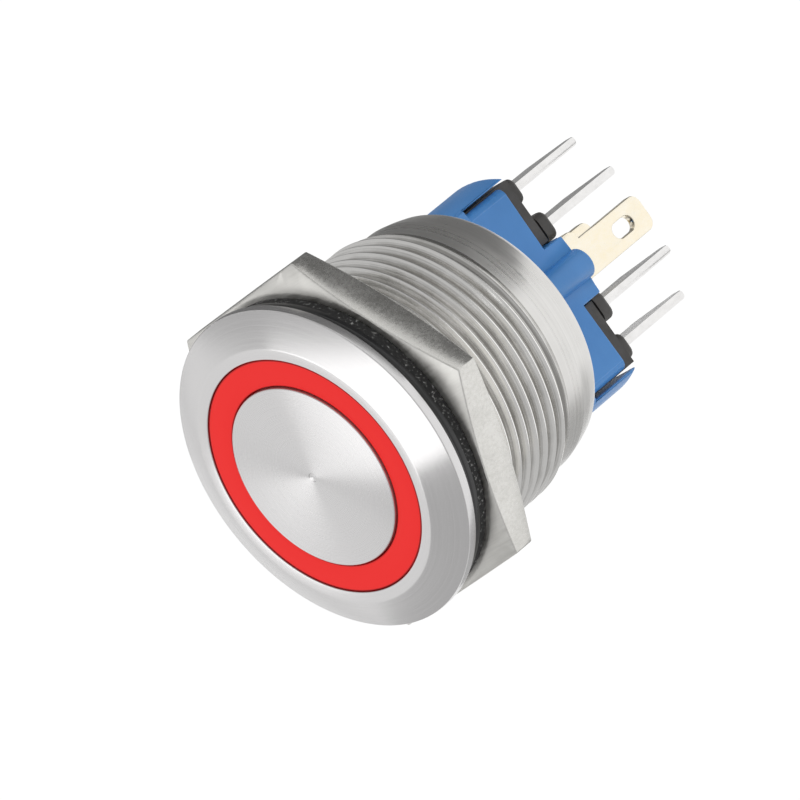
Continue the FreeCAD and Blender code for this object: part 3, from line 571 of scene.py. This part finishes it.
def locknut():
    """Turned faces and drawn flats have their own finish; the flats' darker colour is painted shade."""
    nut = refined("hex_nut", "nut", "nut", [NICKEL, NICKEL_FLATS_WITH_PAINTED_SHADE], [
        (0.09, 2, 12.0, outside)])
    for face in nut.data.polygons:
        reach = math.hypot(face.center.x, face.center.y)
        if abs(face.normal.z) < 0.1 and reach > 12.0 * MM:
            face.material_index = 1


rings()
locknut()


# ---------------------------------------------------------------- lens and cap

def lens_ring():
    lens = turned("light_ring", [
        (LENS_INNER, 1.72), (LENS_OUTER, 1.72), (LENS_OUTER, -1.2),
        (LENS_INNER, -1.2)], "switch_body", LENS)
    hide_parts("ring_lens")


def cap():
    """The cap on its stem. Its underside, at -0.36, stops just above the sleeve at full press."""
    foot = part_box("button_cap")[0][2] / MM
    clip_end, clip_top = (corner[2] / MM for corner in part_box("stem_clip"))
    piece = turned("cap", [
        (0.0, 1.84), (0.3, 1.86), (0.36, 1.9), (7.0, 1.9), (7.0, -0.36), (2.4, -0.36),
        (2.4, clip_top), (1.9, clip_top), (1.9, clip_end), (2.4, clip_end),
        (2.4, foot), (0.0, foot)], "cap", CAP_STEEL, 0.12)
    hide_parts("button_cap")


lens_ring()
cap()


# ---------------------------------------------------------------- plastic base and blocks

# Heights that tell the blades' tips, the collars and the collars' rims from what is above them.
TIPS_BELOW = -33.9 * MM
COLLARS_BELOW = -24.85 * MM
RIMS_BELOW = -26.2 * MM
SAME_PLACE = 0.01 * MM


def long_enough(edge):
    """Leaves out edges too short to hold the base's rounding."""
    return edge.calc_length() > 0.4 * MM


def blade_tip(edge):
    """The two short edges across a blade's thickness end, at its tip."""
    low = min(v.co.z for v in edge.verts)
    flat = abs(edge.verts[0].co.z - edge.verts[1].co.z) < SAME_PLACE
    same_side = abs(edge.verts[0].co.x - edge.verts[1].co.x) < SAME_PLACE
    return low < TIPS_BELOW and same_side and (flat or edge.calc_length() < 0.5 * MM)


def collar_side(edge):
    """The upright corners of the collars round the blades."""
    a, b = (v.co for v in edge.verts)
    upright = math.hypot(a.x - b.x, a.y - b.y) < SAME_PLACE
    return upright and max(a.z, b.z) < COLLARS_BELOW and abs(a.z - b.z) > 0.7 * MM


def collar_top(edge):
    """The rim of a collar's end face."""
    return all(v.co.z < RIMS_BELOW for v in edge.verts) and edge.calc_length() > 0.1 * MM


def base_parts():
    base = refined("base_housing", "base", "switch_body", [BLUE], [
        (0.12, 3, 50.0, long_enough)])
    for node, name in (("nc_block", "insert_nc"), ("no_block", "insert_no")):
        insert = refined(node, name, "switch_body", [BLACK], [
            (0.6, 5, 40.0, collar_side), (0.3, 3, 40.0, collar_top)])


def blades():
    for node in ("terminal_nc_inner", "terminal_nc_outer", "terminal_no_inner", "terminal_no_outer"):
        blade = refined(node, node.replace("terminal", "blade"), "switch_body", [SILVER], [
            (0.2, 4, 30.0, blade_tip)])
    for node in ("terminal_lamp_front", "terminal_lamp_rear"):
        blade = refined(node, node.replace("terminal", "blade"), "switch_body", [GOLD], [
            (0.06, 2, 40.0, None)])


base_parts()
blades()


# ---------------------------------------------------------------- return spring

def spring():
    """The spring's own wire, copied into a mesh of its own; the cap presses 2 mm.
    """
    piece = made(copied("return_spring"), "spring", "switch_body", [SPRING_STEEL], 50.0)
    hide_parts("return_spring")
    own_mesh(piece)


spring()


# ---------------------------------------------------------------- CAD pieces that stay

STAYING = {
    "steel": STEEL, "cap_steel": CAP_STEEL, "nickel": NICKEL, "gasket": RUBBER, "washer": WASHER,
    "lens": LENS, "white_plastic": WHITE, "black_plastic": BLACK, "blue_plastic": BLUE,
    "board": BOARD, "led": CHIPS, "resistor": RESISTOR, "copper": COPPER,
    "spring_steel": SPRING_STEEL, "silver": SILVER, "gold": GOLD}


def dress_nodes():
    """Gives each CAD node that stays the finish of its slot in the record."""
    for part in frame["record"]["subparts"]:
        piece = frame["nodes"][part["node"]]
        material = STAYING[part["material_slot"]]
        for place in piece.material_slots:
            place.link = "OBJECT"
            place.material = material


dress_nodes()


# ---------------------------------------------------------------- floor, light and camera

# The camera's own axes and place, and the point that the lamps face.
RIGHT = Vector((-0.576500, -0.553101, -0.601438))
UP = Vector((0.811514, -0.301677, -0.500435))
BACK = Vector((0.095351, -0.776576, 0.622766))
CAMERA_PLACE = (0.06009, -0.48718, 0.38242)
MIDDLE = Vector((0.0, 0.0, -0.010))
FLOOR = -0.12


def floor():
    bm = bmesh.new()
    bmesh.ops.create_grid(bm, x_segments=8, y_segments=8, size=3.0)
    bmesh.ops.translate(bm, verts=bm.verts, vec=(0, 0, FLOOR))
    f = Finish("pale_floor", Roughness=0.9)
    f.glow((0.8, 0.8, 0.8), 0.47)
    piece = placed("floor", meshed(bm, "floor", [f.material]))


def lamp(name, place, size, glow):
    """A soft panel light that faces the middle of the switch; glow is how bright the panel looks."""
    light = bpy.data.lights.new(name, "AREA")
    light.shape = "RECTANGLE"
    light.size, light.size_y = size
    light.energy = glow * math.pi * size[0] * size[1]
    place = Vector(place)
    turn = (place - MIDDLE).to_track_quat("Z", "Y").to_matrix().to_4x4()
    placed(name, light).matrix_world = Matrix.Translation(place) @ turn


def grey_sheet(name, left, right, near, far, shade):
    """A grey sheet laid on the floor beside the set, seen only in the metal's reflections."""
    bm = bmesh.new()
    bmesh.ops.create_grid(bm, x_segments=1, y_segments=1, size=0.5)
    bmesh.ops.scale(bm, verts=bm.verts, vec=(right - left, far - near, 1.0))
    middle = ((left + right) / 2, (near + far) / 2, FLOOR + 0.004)
    bmesh.ops.translate(bm, verts=bm.verts, vec=middle)
    f = Finish(name, Roughness=1.0)
    f.shader.inputs["Specular IOR Level"].default_value = 0.0
    f.glow((0.0, 0.0, 0.0), shade)
    piece = placed(name, meshed(bm, name, [f.material]))
    piece.visible_camera = False
    piece.visible_diffuse = False
    piece.visible_shadow = False
    piece.visible_transmission = False


def lights():
    lamp("top_panel", (0.02, 0.10, 0.50), (0.34, 0.60), 1.1)
    lamp("far_panel", (-0.02, 0.45, 0.22), (0.50, 0.45), 0.35)
    grey_sheet("right_sheet", 0.035, 0.50, -0.125, 0.40, 0.17)
    grey_sheet("far_sheet", 0.0, 0.05, 0.07, 0.40, 0.32)
    grey_sheet("left_sheet", -0.40, -0.07, -0.025, 0.12, 0.5)
    world = bpy.data.worlds.new("studio")
    world.use_nodes = True
    background = world.node_tree.nodes["Background"]
    background.inputs["Color"].default_value = (1.0, 1.0, 1.0, 1.0)
    background.inputs["Strength"].default_value = 0.5
    bpy.context.scene.world = world


def camera():
    data = bpy.data.cameras.new("camera")
    data.sensor_width = 36.0
    data.lens = 409.22
    data.clip_end = 20.0
    piece = placed("camera", data)
    turn = Matrix((RIGHT, UP, BACK)).transposed().to_4x4()
    piece.matrix_world = Matrix.Translation(CAMERA_PLACE) @ turn
    bpy.context.scene.camera = piece


floor()
lights()
camera()
bpy.context.scene.view_settings.view_transform = "Standard"
